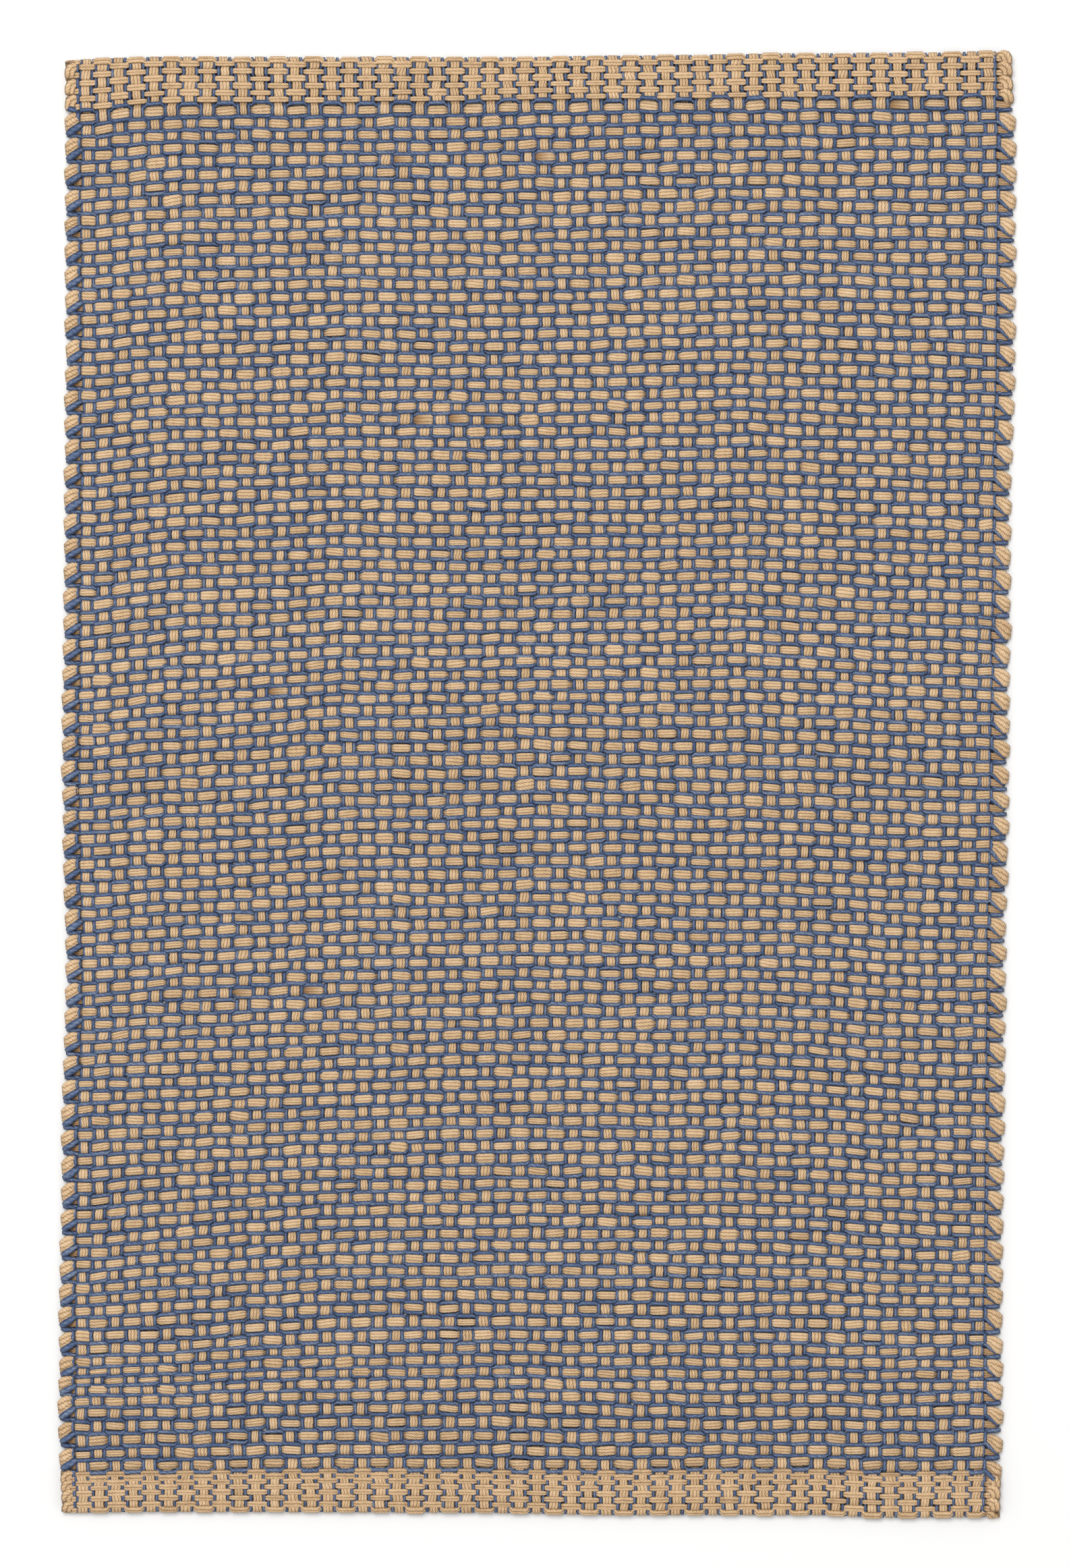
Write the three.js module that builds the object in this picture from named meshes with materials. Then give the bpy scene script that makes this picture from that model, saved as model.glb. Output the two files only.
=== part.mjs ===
// Flat handwoven jute rug, lying on a floor.
// The cloth is one solid: a flat slab with the wandering edges of the real one,
// rounded selvedges that bulge where the weft turns, and a doubled hem at each end.
// Millimetres. X runs across the rug, Y along it, +Z is up. The underside is on z = 0.

import * as THREE from "three";

// Driving dimensions
const LENGTH = 914;
const WIDTH = 592;
const BODY_THICKNESS = 5.4;
const HEM_THICKNESS = 7.4;
const HEM_DEPTH = 30;
const HEM_RAMP = 6;
const CORNER_RADIUS = 6;

// The weave, which sets where the edges bulge
const WARP_GROUPS = 52;
const WEFT_ROWS = 110;
const ROWS_PER_TURN = 2;
const TURN_BULGE = 2.4;
const TURN_STEPS = 4;
const HEM_TURNS = 4;
const HEM_TURN_BULGE = 0.7;
const FOLD_BULGE = 1.3;
const FOLD_STEPS = 3;
const CORNER_STEPS = 4;

// Rounded edge, from the underside up: how far each ring is drawn in, at what share of the
// thickness it lies, and how much of the bulges it keeps
const EDGE_RINGS = [
  { inset: 2.0, height: 0.0, bulge: 0.2 },
  { inset: 0.5, height: 0.16, bulge: 0.8 },
  { inset: 0.0, height: 0.48, bulge: 1.0 },
  { inset: 0.6, height: 0.82, bulge: 0.8 },
  { inset: 2.2, height: 1.0, bulge: 0.2 },
];

// How far the selvedges stand out from half the width, from the top end down
const SELVEDGE_DRIFT = [
  { down: 0.0, left: 0.0, right: 1.4 },
  { down: 0.065, left: -0.5, right: 3.9 },
  { down: 0.19, left: -0.8, right: 3.4 },
  { down: 0.31, left: 0.1, right: 0.9 },
  { down: 0.5, left: 1.3, right: -0.5 },
  { down: 0.62, left: -0.9, right: -2.5 },
  { down: 0.75, left: 1.7, right: -3.6 },
  { down: 0.87, left: 3.1, right: -4.7 },
  { down: 0.94, left: 3.8, right: -4.6 },
  { down: 1.0, left: 1.9, right: -6.0 },
];

// How far the folded ends stand out from half the length, from left to right
const END_DRIFT = [
  { across: 0.0, top: -3.2, bottom: -1.4 },
  { across: 0.11, top: -1.3, bottom: -2.2 },
  { across: 0.25, top: -1.5, bottom: -1.9 },
  { across: 0.45, top: -1.7, bottom: -1.4 },
  { across: 0.6, top: -0.6, bottom: 0.0 },
  { across: 0.8, top: 0.8, bottom: 0.0 },
  { across: 0.88, top: 1.1, bottom: 1.6 },
  { across: 1.0, top: 2.0, bottom: 1.2 },
];

const HALF_LENGTH = LENGTH / 2;
const HALF_WIDTH = WIDTH / 2;
const BODY_HALF = HALF_LENGTH - HEM_DEPTH;

// Reads a column of a drift table at a place between its rows, with no corner at a row
function drift(table, key, column, place) {
  const last = table.length - 1;
  let row = 0;
  while (row < last - 1 && place > table[row + 1][key]) {
    row += 1;
  }
  const from = table[row];
  const to = table[row + 1];
  const share = THREE.MathUtils.smoothstep(place, from[key], to[key]);
  return THREE.MathUtils.lerp(from[column], to[column], share);
}

function selvedgeX(sign, y) {
  const down = (HALF_LENGTH - y) / LENGTH;
  return sign * (HALF_WIDTH + drift(SELVEDGE_DRIFT, "down", sign < 0 ? "left" : "right", down));
}

function endY(sign, x) {
  const across = (x + HALF_WIDTH) / WIDTH;
  return sign * (HALF_LENGTH + drift(END_DRIFT, "across", sign < 0 ? "bottom" : "top", across));
}

// One bulge a turn, highest in its middle; phase counts turns
function bulge(phase) {
  return 0.5 - 0.5 * Math.cos(2 * Math.PI * phase);
}

// How far a selvedge stands out at y: a turn every second row in the body, finer in the hems.
// The left side turns on the even rows and the right side on the odd ones.
function selvedgeBulge(sign, y) {
  if (Math.abs(y) > BODY_HALF) {
    return HEM_TURN_BULGE * bulge((HEM_TURNS * (Math.abs(y) - BODY_HALF)) / HEM_DEPTH);
  }
  const rows = (WEFT_ROWS * (BODY_HALF - y)) / (2 * BODY_HALF);
  const firstRow = sign < 0 ? 0 : 1;
  return TURN_BULGE * bulge((rows - firstRow + 0.5) / ROWS_PER_TURN);
}

// The corner where a selvedge meets an end, before it is rounded
function cornerAt(xSign, ySign) {
  const x = selvedgeX(xSign, ySign * HALF_LENGTH);
  return new THREE.Vector2(x, endY(ySign, x));
}

// Quarter round at a corner, counter-clockwise from startAngle
function cornerPoints(xSign, ySign, startAngle) {
  const corner = cornerAt(xSign, ySign);
  const points = [];
  for (let step = 0; step <= CORNER_STEPS; step += 1) {
    const angle = startAngle + ((Math.PI / 2) * step) / CORNER_STEPS;
    const out = new THREE.Vector2(Math.cos(angle), Math.sin(angle));
    points.push({
      x: corner.x - xSign * CORNER_RADIUS + CORNER_RADIUS * out.x,
      y: corner.y - ySign * CORNER_RADIUS + CORNER_RADIUS * out.y,
      out,
      bulge: 0,
    });
  }
  return points;
}

// Heights along both selvedges where they have a point, from the bottom end up
function selvedgeStations() {
  const bodyStep = (2 * BODY_HALF * ROWS_PER_TURN) / WEFT_ROWS / TURN_STEPS;
  const hemStep = HEM_DEPTH / HEM_TURNS / TURN_STEPS;
  const rampEnd = BODY_HALF - HEM_RAMP;
  const hemEnd = HALF_LENGTH - CORNER_RADIUS - 2 * hemStep;
  const stations = [-BODY_HALF, -rampEnd, rampEnd, BODY_HALF];
  for (let y = -BODY_HALF + bodyStep; y < BODY_HALF - bodyStep / 2; y += bodyStep) {
    if (Math.abs(Math.abs(y) - rampEnd) > bodyStep / 3) {
      stations.push(y);
    }
  }
  for (let y = BODY_HALF + hemStep; y < hemEnd; y += hemStep) {
    stations.push(-y, y);
  }
  return stations.sort((a, b) => a - b);
}

function selvedgePoints(xSign) {
  const out = new THREE.Vector2(xSign, 0);
  return selvedgeStations().map((y) => ({
    x: selvedgeX(xSign, y),
    y,
    out,
    side: true,
    bulge: selvedgeBulge(xSign, y),
  }));
}

// The fold at an end: one shallow bulge for each warp group
function endPoints(ySign) {
  const out = new THREE.Vector2(0, ySign);
  const pitch = WIDTH / WARP_GROUPS;
  const points = [];
  for (let step = 1; step < WARP_GROUPS * FOLD_STEPS; step += 1) {
    const groups = step / FOLD_STEPS;
    const x = -HALF_WIDTH + groups * pitch;
    const left = cornerAt(-1, ySign).x + CORNER_RADIUS;
    const right = cornerAt(1, ySign).x - CORNER_RADIUS;
    if (x > left + pitch / 4 && x < right - pitch / 4) {
      points.push({ x, y: endY(ySign, x), out, bulge: FOLD_BULGE * bulge(groups) });
    }
  }
  return points;
}

// The whole outline, counter-clockwise seen from above
function outline() {
  return [
    ...cornerPoints(-1, -1, Math.PI),
    ...endPoints(-1),
    ...cornerPoints(1, -1, -Math.PI / 2),
    ...selvedgePoints(1),
    ...cornerPoints(1, 1, 0),
    ...endPoints(1).reverse(),
    ...cornerPoints(-1, 1, Math.PI / 2),
    ...selvedgePoints(-1).reverse(),
  ];
}

// Full thickness at y: the body, a short ramp, and the doubled cloth of the hem
function thicknessAt(y) {
  const share = THREE.MathUtils.smoothstep(Math.abs(y), BODY_HALF - HEM_RAMP, BODY_HALF);
  return THREE.MathUtils.lerp(BODY_THICKNESS, HEM_THICKNESS, share);
}

function ringVertices(points, ring) {
  return points.map((point) => {
    const shift = point.bulge * ring.bulge - ring.inset;
    return new THREE.Vector3(
      point.x + point.out.x * shift,
      point.y + point.out.y * shift,
      ring.height * thicknessAt(point.y),
    );
  });
}

// Fills a flat face inside a ring that starts at index first, facing up. The body is a ladder
// between the two selvedges. Each hem is a fan around a hub in the middle of the line where
// it meets the body.
function fillFace(points, first, hubs) {
  const faces = [];
  const indices = points.map((point, index) => index);
  const rungs = (xSign) => indices
    .filter((index) => points[index].side && points[index].out.x === xSign)
    .filter((index) => Math.abs(points[index].y) <= BODY_HALF)
    .sort((a, b) => points[a].y - points[b].y)
    .map((index) => index + first);
  const left = rungs(-1);
  const right = rungs(1);
  const last = left.length - 1;
  faces.push([left[1], left[0], hubs.bottom], [left[1], hubs.bottom, right[0]], [left[1], right[0], right[1]]);
  for (let rung = 1; rung < last - 1; rung += 1) {
    faces.push([left[rung], right[rung], right[rung + 1]]);
    faces.push([left[rung], right[rung + 1], left[rung + 1]]);
  }
  const under = left[last - 1];
  faces.push([under, right[last - 1], right[last]], [under, right[last], hubs.top], [under, hubs.top, left[last]]);
  for (const index of indices) {
    const next = (index + 1) % points.length;
    const low = Math.min(points[index].y, points[next].y);
    const high = Math.max(points[index].y, points[next].y);
    if (low >= BODY_HALF) {
      faces.push([first + index, first + next, hubs.top]);
    }
    if (high <= -BODY_HALF) {
      faces.push([first + index, first + next, hubs.bottom]);
    }
  }
  return faces;
}

function rugGeometry() {
  const points = outline();
  const count = points.length;
  const vertices = EDGE_RINGS.flatMap((ring) => ringVertices(points, ring));
  const faces = [];

  for (let ring = 0; ring < EDGE_RINGS.length - 1; ring += 1) {
    for (let step = 0; step < count; step += 1) {
      const next = (step + 1) % count;
      const low = ring * count;
      const high = low + count;
      faces.push([low + step, low + next, high + next]);
      faces.push([low + step, high + next, high + step]);
    }
  }

  const addHubs = (z) => {
    const bottom = vertices.push(new THREE.Vector3(0, -BODY_HALF, z)) - 1;
    const top = vertices.push(new THREE.Vector3(0, BODY_HALF, z)) - 1;
    return { bottom, top };
  };
  for (const [a, b, c] of fillFace(points, 0, addHubs(0))) {
    faces.push([a, c, b]);
  }
  const topRing = (EDGE_RINGS.length - 1) * count;
  faces.push(...fillFace(points, topRing, addHubs(HEM_THICKNESS)));

  // The origin is the middle of the bounding box, on the underside
  const box = new THREE.Box3().setFromPoints(vertices);
  const middle = box.getCenter(new THREE.Vector3());
  middle.z = 0;
  const geometry = new THREE.BufferGeometry().setFromPoints(vertices.map((vertex) => vertex.sub(middle)));
  geometry.setIndex(faces.flat());
  geometry.computeVertexNormals();
  return geometry;
}

// Natural jute with its blue-dyed yarns, seen from a few steps away
const rugMaterial = new THREE.MeshStandardMaterial({
  color: "#b3a083",
  roughness: 0.95,
  metalness: 0,
});

const rug = new THREE.Mesh(rugGeometry(), rugMaterial);
rug.name = "rug";

const part = new THREE.Group();
part.add(rug);

export default part;
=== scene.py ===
"""Flat handwoven jute rug: natural and blue-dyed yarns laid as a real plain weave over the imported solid."""

import math

import bpy
import numpy as np
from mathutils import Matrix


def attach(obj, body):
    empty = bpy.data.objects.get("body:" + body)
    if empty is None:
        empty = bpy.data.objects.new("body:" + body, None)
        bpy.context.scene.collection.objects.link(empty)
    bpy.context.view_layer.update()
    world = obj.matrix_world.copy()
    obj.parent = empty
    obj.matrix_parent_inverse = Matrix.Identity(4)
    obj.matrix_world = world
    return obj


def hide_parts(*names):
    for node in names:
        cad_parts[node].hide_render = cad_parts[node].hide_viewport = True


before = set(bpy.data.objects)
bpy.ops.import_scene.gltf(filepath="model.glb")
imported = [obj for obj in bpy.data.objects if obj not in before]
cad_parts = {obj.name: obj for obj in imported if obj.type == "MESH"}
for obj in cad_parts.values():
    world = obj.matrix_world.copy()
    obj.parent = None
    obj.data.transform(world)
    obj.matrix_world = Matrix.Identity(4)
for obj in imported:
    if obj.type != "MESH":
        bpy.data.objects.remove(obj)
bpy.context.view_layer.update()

bl_info = {
    "name": "Woven jute rug",
    "version": (1, 0, 0),
    "blender": (4, 5, 0),
    "location": "3D View > Sidebar > Rug",
    "description": "Lays the warp, weft, hems and loose fibres of a flat jute rug",
    "category": "Object",
}

# Lengths below are millimetres on the rug, unless a name says otherwise
MM = 0.001


def table(columns, *rows):
    """A short table: for each row, its values by the names of their columns."""
    return [dict(zip(columns.split(), row)) for row in rows]


# Unevenness of the laid rug. Places are shares of the length, from the top end down, or of the
# width, from left to right.

# how far the selvedges stand out from half the width
SELVEDGE_DRIFT = table(
    "down left right",
    (0.0, 0.0, 1.4),
    (0.065, -0.5, 3.9),
    (0.19, -0.8, 3.4),
    (0.31, 0.1, 0.9),
    (0.5, 1.3, -0.5),
    (0.62, -0.9, -2.5),
    (0.75, 1.7, -3.6),
    (0.87, 3.1, -4.7),
    (0.94, 3.8, -4.6),
    (1.0, 1.9, -6.0),
)

# how far the folded ends stand out from half the length
END_DRIFT = table(
    "across top bottom",
    (0.0, -3.2, -1.4),
    (0.11, -1.3, -2.2),
    (0.25, -1.5, -1.9),
    (0.45, -1.7, -1.4),
    (0.6, -0.6, 0.0),
    (0.8, 0.8, 0.0),
    (0.88, 1.1, 1.6),
    (1.0, 2.0, 1.2),
)

# how much lower a weft row lies than evenly spaced rows would, and how far the warp lies to the right
LATTICE_DRIFT = table(
    "down lower right",
    (0.0, 0.0, -1.5),
    (0.03, 0.0, -1.5),
    (0.13, 3.0, -1.5),
    (0.2, 2.5, 0.0),
    (0.3, 0.0, 1.2),
    (0.4, -2.5, 0.6),
    (0.46, -4.5, 0.4),
    (0.52, -2.5, 0.0),
    (0.66, -3.3, -0.8),
    (0.85, -5.0, -1.0),
    (0.9, -2.0, -0.6),
    (0.97, 0.0, 0.0),
    (1.0, 0.0, 0.0),
)

# how much lower than straight a weft row lies, at six places across the rug
BOW_PLACES = {"left": 0.03, "inner": 0.12, "quarter": 0.29, "centre": 0.5, "far": 0.72, "right": 0.9}
ROW_BOW = table(
    "down left inner quarter centre far right",
    (0.0, 0.0, 0.0, 0.0, 0.0, 0.0, 0.0),
    (0.033, 5.4, 2.3, 2.2, 0.2, 0.6, 1.0),
    (0.09, 5.2, 2.2, 0.6, -0.6, -1.2, 0.4),
    (0.153, 4.8, 1.6, -1.4, -0.8, -2.6, 0.2),
    (0.24, 5.9, 2.2, -1.0, 0.2, -1.6, 2.6),
    (0.32, 8.0, 3.4, -0.2, 0.4, -0.2, 4.4),
    (0.43, 12.0, 7.6, 1.6, -0.4, -0.6, 4.4),
    (0.48, 10.2, 7.2, 1.0, -1.6, 0.0, 4.0),
    (0.54, 8.6, 6.6, 1.4, -1.4, 0.2, 3.8),
    (0.62, 9.2, 6.4, 2.2, -0.6, 0.4, 4.6),
    (0.71, 7.6, 6.8, 2.2, -0.6, 0.0, 4.6),
    (0.82, 13.8, 8.8, 2.8, 0.2, 0.8, 4.6),
    (0.875, 10.2, 8.8, 2.2, 0.2, 0.8, 1.0),
    (0.93, 0.8, 1.2, -1.8, -2.2, -0.8, -2.6),
    (0.967, 2.0, 1.8, -0.2, 0.0, -1.6, -1.6),
    (1.0, 0.0, 0.0, 0.0, 0.0, 0.0, 0.0),
)

# how far the warp lies to the right of evenly spaced groups
COLUMN_DRIFT = table(
    "across right",
    (0.0, 0.0),
    (0.2, -0.6),
    (0.3, 0.0),
    (0.4, -0.5),
    (0.6, -1.3),
    (0.78, -2.0),
    (0.87, -0.4),
    (1.0, 0.0),
)

# Crossings where an ingrained knot darkens the yarn: weft row, then warp groups
BROWN_KNOTS = {
    0: (47,),
    4: (19, 22, 24, 27),
    25: (20, 21, 22, 24),
    47: (11, 12, 15, 19),
    71: (7, 10, 14),
    92: (46, 50, 52),
}

# Yarn cross-sections, counter-clockwise from the right side. across and up are shares of the half
# width and half height, and strand is the place in the texture, which wraps at the last number.
WIDE_BAND = {
    "across": (1.0, 0.95, -0.95, -1.0, 0.0),
    "up": (0.2, 0.9, 0.9, 0.2, -1.1),
    "strand": (3.0, 2.85, 0.15, 0.0, -1.5),
    "wrap": -3.0,
}
PICK_BAND = {
    "across": (1.0, 0.68, -0.68, -1.0, -0.68, 0.68),
    "up": (0.0, 0.94, 0.94, 0.0, -0.94, -0.94),
    "strand": (2.0, 1.7, 0.3, 0.0, -0.3, -1.7),
    "wrap": -2.0,
}
BLUE_YARN = {
    "across": (0.94, -0.94, -0.94, 0.94),
    "up": (0.82, 0.82, -0.82, -0.82),
    "strand": (0.97, 0.03, -0.35, -0.65),
    "wrap": -1.03,
}
HAIR = {"across": (1.0, 0.0, -1.0), "up": (-0.5, 1.0, -0.5), "strand": (0.0, 0.3, 0.7), "wrap": 1.0}

# Yarns past the outermost warp, from the inside out: each station's distance inwards of the selvedge,
# shift towards the top end, rise over the cloth's middle, half width, and degrees turned downwards
EDGE_COLUMNS = "inward shift rise half_width turn"
LEFT_BUTTON = table(
    EDGE_COLUMNS,
    (9.9, 0.0, -0.9, 2.3, 0),
    (8.4, 0.0, 0.5, 2.5, 0),
    (6.9, -0.2, 1.5, 3.5, 0),
    (5.0, -1.2, 1.9, 4.5, 2),
    (3.1, -2.6, 1.6, 5.0, 5),
    (1.6, -3.5, 1.0, 4.6, 6),
    (0.5, -3.8, 0.0, 3.3, 6),
    (1.2, -4.0, -1.1, 2.8, 6),
)
LEFT_TUCK = table(
    EDGE_COLUMNS,
    (10.5, 0.0, -0.2, 2.1, 0),
    (9.6, -0.2, 0.1, 1.8, 0),
    (8.8, -0.4, -0.2, 1.8, 0),
    (8.0, -0.6, -0.6, 1.9, 0),
    (7.0, -0.6, -1.2, 2.0, 0),
    (5.6, -0.6, -1.3, 2.2, 0),
    (4.4, -0.6, -1.3, 2.2, 0),
    (3.4, -0.6, -1.3, 2.0, 0),
)
RIGHT_BUTTON = table(
    EDGE_COLUMNS,
    (11.7, 0.0, -0.9, 2.3, 0),
    (10.2, -0.3, 0.4, 2.2, 0),
    (8.2, -0.9, 1.5, 3.1, 0),
    (5.8, -2.4, 2.1, 4.5, 2),
    (3.7, -3.9, 2.0, 5.3, 4),
    (2.0, -4.6, 1.4, 4.8, 6),
    (0.8, -4.9, 0.2, 3.4, 6),
    (1.5, -5.1, -1.0, 2.8, 6),
)
RIGHT_TUCK = table(
    EDGE_COLUMNS,
    (12.2, 0.0, -0.4, 2.2, 0),
    (10.8, -0.3, 0.6, 2.2, 0),
    (9.4, -0.6, 0.4, 2.2, 0),
    (7.8, -0.8, 0.4, 2.2, 0),
    (6.0, -1.0, 0.4, 2.2, 8),
    (4.4, -1.1, 0.2, 2.1, 12),
    (3.3, -1.2, -0.3, 1.8, 12),
    (3.4, -1.3, -1.1, 1.4, 12),
)
LEFT_UPPER_BLUE = table(
    EDGE_COLUMNS,
    (10.2, 3.6, 0.1, 1.1, 0),
    (8.6, 3.8, -0.6, 1.1, 0),
    (7.2, 4.1, 0.3, 1.3, 0),
    (5.4, 4.4, 0.8, 1.5, 0),
    (3.8, 4.6, 0.9, 1.6, 0),
    (2.5, 4.8, 0.6, 1.4, 0),
    (1.7, 4.9, -0.1, 1.0, 0),
    (2.3, 4.8, -1.1, 0.8, 0),
)
LEFT_LOWER_BLUE = table(
    EDGE_COLUMNS,
    (11.0, -3.5, 0.9, 1.2, 5),
    (9.6, -4.2, 1.5, 1.5, 25),
    (7.8, -5.3, 2.1, 1.9, 30),
    (5.6, -6.6, 2.2, 2.1, 30),
    (3.6, -7.8, 1.9, 2.1, 30),
    (2.2, -8.7, 1.2, 1.8, 30),
    (1.4, -9.2, 0.0, 1.3, 30),
    (2.2, -9.4, -1.2, 1.1, 30),
)
RIGHT_UPPER_BLUE = table(
    EDGE_COLUMNS,
    (12.2, 3.5, 0.2, 1.1, 0),
    (10.8, 3.5, -0.7, 1.1, 0),
    (9.2, 3.6, 0.2, 1.2, 0),
    (7.4, 3.8, 0.8, 1.4, 0),
    (5.0, 4.0, 0.9, 1.6, 0),
    (3.2, 4.1, 0.6, 1.5, 0),
    (2.2, 4.3, 0.0, 1.1, 0),
    (2.6, 4.3, -1.0, 0.8, 0),
)
RIGHT_LOWER_BLUE = table(
    EDGE_COLUMNS,
    (12.0, -3.4, 0.8, 1.1, 0),
    (10.4, -3.4, 0.9, 1.3, 10),
    (8.6, -4.9, 1.3, 1.5, 28),
    (7.0, -6.3, 1.4, 1.5, 34),
    (5.2, -7.9, 1.2, 1.3, 38),
    (3.9, -9.0, 0.7, 1.1, 40),
    (3.0, -9.6, 0.0, 0.9, 42),
    (3.0, -9.9, -0.9, 0.9, 42),
)
BLUE_TUCK = table(
    EDGE_COLUMNS,
    (10.8, 3.4, -0.5, 1.0, 0),
    (9.4, 3.4, 0.5, 1.0, 0),
    (8.2, 3.2, 0.4, 1.0, 0),
    (7.2, 2.9, -0.2, 0.9, 0),
    (6.4, 2.6, -0.7, 0.9, 0),
    (5.8, 2.3, -1.0, 0.9, 0),
    (5.2, 2.0, -1.2, 0.9, 0),
    (4.6, 1.8, -1.3, 0.9, 0),
)
PICK_BUTTON = table(
    EDGE_COLUMNS,
    (9.4, 0.0, -0.3, 1.8, 0),
    (7.8, 0.2, 0.4, 2.4, 5),
    (6.2, 0.0, 0.9, 3.3, 15),
    (4.4, -1.0, 1.1, 3.7, 40),
    (3.6, -2.6, 1.0, 3.6, 62),
    (3.3, -4.4, 0.6, 3.3, 75),
    (3.3, -6.0, -0.3, 2.8, 80),
)
PICK_TUCK = table(
    EDGE_COLUMNS,
    (10.2, 0.0, -0.2, 1.7, 0),
    (8.8, 0.0, 0.6, 2.0, 0),
    (7.4, -0.1, 0.5, 2.1, 0),
    (6.4, -0.2, 0.1, 2.1, 0),
    (5.6, -0.3, -0.3, 1.4, 0),
    (5.0, -0.4, -0.6, 1.4, 0),
    (4.4, -0.5, -0.7, 1.4, 0),
)

# A slow ripple of the whole weave, and how far from the edges it and the drift fade in
RIPPLE = 0.5
RIPPLE_ACROSS = 70.0
RIPPLE_DOWN = 60.0
RIPPLE_SEEDS = {"across": 11, "down": 12}
FADE = 60.0


class RugSizes(bpy.types.PropertyGroup):
    """Driving sizes of the rug, before its unevenness."""

    length: bpy.props.FloatProperty(
        name="Length", description="Between the two folded ends", default=0.914, unit="LENGTH"
    )
    width: bpy.props.FloatProperty(
        name="Width", description="Between the two selvedges", default=0.592, unit="LENGTH"
    )
    hem_depth: bpy.props.FloatProperty(
        name="Hem depth", description="From the fold to the first body row", default=0.0273, unit="LENGTH"
    )
    warp_groups: bpy.props.IntProperty(
        name="Warp groups", description="Lengthwise groups of five yarns", default=52, min=4
    )
    weft_rows: bpy.props.IntProperty(
        name="Weft rows", description="Crosswise rows of five yarns", default=110, min=4
    )
    warp_band: bpy.props.FloatProperty(
        name="Warp band", description="Width of three natural warps", default=0.006, unit="LENGTH"
    )
    weft_band: bpy.props.FloatProperty(
        name="Weft band", description="Width of three natural wefts", default=0.0053, unit="LENGTH"
    )
    blue_warp: bpy.props.FloatProperty(
        name="Blue warp", description="Width of one dyed warp", default=0.0021, unit="LENGTH"
    )
    blue_weft: bpy.props.FloatProperty(
        name="Blue weft", description="Width of one dyed weft", default=0.0025, unit="LENGTH"
    )
    pick: bpy.props.FloatProperty(
        name="Hem pick", description="Width of a two-strand hem pick", default=0.0042, unit="LENGTH"
    )
    crimp: bpy.props.FloatProperty(
        name="Crimp", description="Rise of a yarn over the cloth's middle", default=0.00135, unit="LENGTH"
    )
    stray_fibres: bpy.props.IntProperty(
        name="Stray fibres", description="Loose hairs on the face", default=1200, min=0
    )


class RugColours(bpy.types.PropertyGroup):
    """Yarn colours, as they are seen: the deep shades are painted shade in the grooves, the light shades
    painted highlight on the crests.
    """

    natural_light: bpy.props.StringProperty(
        name="Light jute", description="Lit crest of an undyed strand", default="#f8e0c1"
    )
    natural_mid: bpy.props.StringProperty(
        name="Jute", description="Common colour of an undyed strand", default="#e3be92"
    )
    # painted shade in the grooves between undyed strands
    natural_deep: bpy.props.StringProperty(
        name="Deep jute", description="Grooves between undyed strands", default="#967857"
    )
    knot_and_tuck_shade: bpy.props.StringProperty(name="Knot", description="Ingrained brown knots", default="#8a6033")
    # brown of the knots, also used as painted shade on the tucked ends
    blue_light: bpy.props.StringProperty(
        # painted highlight on the crests, partly also the paler rubbed dye and fuzz
        name="Light blue", description="Worn crest of a dyed yarn", default="#a4abb5"
    )
    blue_mid: bpy.props.StringProperty(
        name="Blue", description="Common colour of a dyed yarn", default="#51658a"
    )
    # painted shade in the grooves and at the edges of a dyed yarn
    blue_deep: bpy.props.StringProperty(
        name="Deep blue", description="Grooves of a dyed yarn", default="#262f46"
    )
    fibre_dark: bpy.props.StringProperty(
        name="Dark fibre", description="Duller loose hairs", default="#b59a70"
    )
    fibre_pale: bpy.props.StringProperty(
        name="Pale fibre", description="Palest loose hairs", default="#e6d9bd"
    )
    floor: bpy.props.StringProperty(name="Floor", description="Plain pale floor", default="#fafaf9")


def sizes():
    return bpy.context.scene.rug_sizes


def colours():
    return bpy.context.scene.rug_colours


def length_mm():
    return sizes().length / MM


def width_mm():
    return sizes().width / MM


def hem_mm():
    return sizes().hem_depth / MM


def crimp_mm():
    return sizes().crimp / MM


def row_pitch():
    return (length_mm() - 2 * hem_mm()) / sizes().weft_rows


# Places in the weave, and heights of the cloth's middle over the floor
LEFT_EDGE_WARP = 8.5
FIRST_GROUP = 14.1
LAST_GROUP = 15.3
END_GROUP_GAP = 10.2
RIGHT_EDGE_WARP = 10.8
BODY_MIDDLE = 2.5
HEM_TOP_MIDDLE = 5.2
HEM_UNDER_MIDDLE = 1.75
HEM_RAMP_START = 6.0
HEM_RAMP = 8.0
HEM_CRIMP = 0.75
HEM_BLUE_OFFSET = 4.1
FOLD_SKIN = 1.2
NATURAL_HALF_HEIGHT = 1.15
PICK_HALF_HEIGHT = 0.9

# Stations along a yarn, from the middle of a crossing: where it is still up, and where it is down.
# At an outer group the outermost ones are drawn in to a share of that.
WEFT_OVER_PLACES = (-4.85, -4.15, 4.15, 4.85)
WEFT_UNDER_PLACES = (-3.8, 3.8)
BLUE_OVER_PLACES = (-5.8, -4.4, 4.4, 5.8)
BLUE_UNDER_PLACES = (0.0,)
WARP_OVER_REACH = 2.2
WARP_UNDER_REACH = 3.0
HEM_WARP_OVER_REACH = 1.4
HEM_WARP_UNDER_REACH = 0.8
HEM_WARP_FOLD_REACH = 2.7
PICK_OVER_PLACES = (-5.8, -4.3, 4.3, 5.8)
PICK_UNDER_PLACES = (-4.3, 4.3)
EDGE_SHARE = 0.62

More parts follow.
